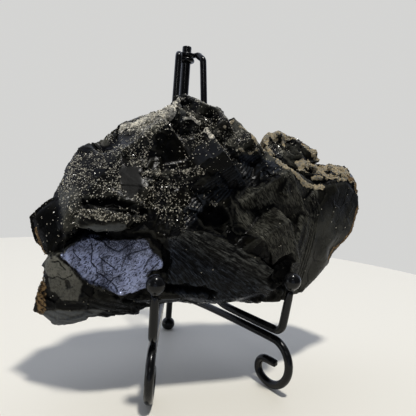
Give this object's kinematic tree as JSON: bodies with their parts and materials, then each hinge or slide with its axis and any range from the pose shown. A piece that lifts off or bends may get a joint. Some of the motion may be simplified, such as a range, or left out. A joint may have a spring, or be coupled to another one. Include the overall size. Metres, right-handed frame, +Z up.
{
  "type": "mineral specimen on a display easel",
  "caption": "Dark fluorite crystal cluster with a drusy coat, leaning on a black folding wire easel with scroll feet and ball-ended prongs.",
  "frame": {"origin": "centre of the rear foot's flat underside, on the surface that the easel stands on", "axes": "+Z up along the post, front towards -Y, +X to the right seen from the front"},
  "size_m": [0.149, 0.0835, 0.146],
  "materials": {
    "fluorite": "glossy cleavage faces with a sparkling drusy coat and brown crust",
    "gloss_black": "gloss black coating on steel wire"
  },
  "bodies": {
    "post": {"post_tube": "gloss_black", "rear_leg_wire": "gloss_black", "rear_foot_ball": "gloss_black", "fluorite_specimen": "fluorite"},
    "left_gate": {"left_leg_wire": "gloss_black", "left_rest_wire": "gloss_black", "left_prong_ball": "gloss_black"},
    "right_gate": {"right_leg_wire": "gloss_black", "right_rest_wire": "gloss_black", "right_prong_ball": "gloss_black"}
  },
  "joints": [
    {"name": "left_gate_hinge", "type": "hinge", "parent": "post", "child": "left_gate", "pos_m": [0, 0, 0.08], "axis": [0, 0, -1], "range_deg": [-2, 9]},
    {"name": "right_gate_hinge", "type": "hinge", "parent": "post", "child": "right_gate", "pos_m": [0, 0, 0.08], "axis": [0, 0, 1], "range_deg": [-5, 25]}
  ]
}
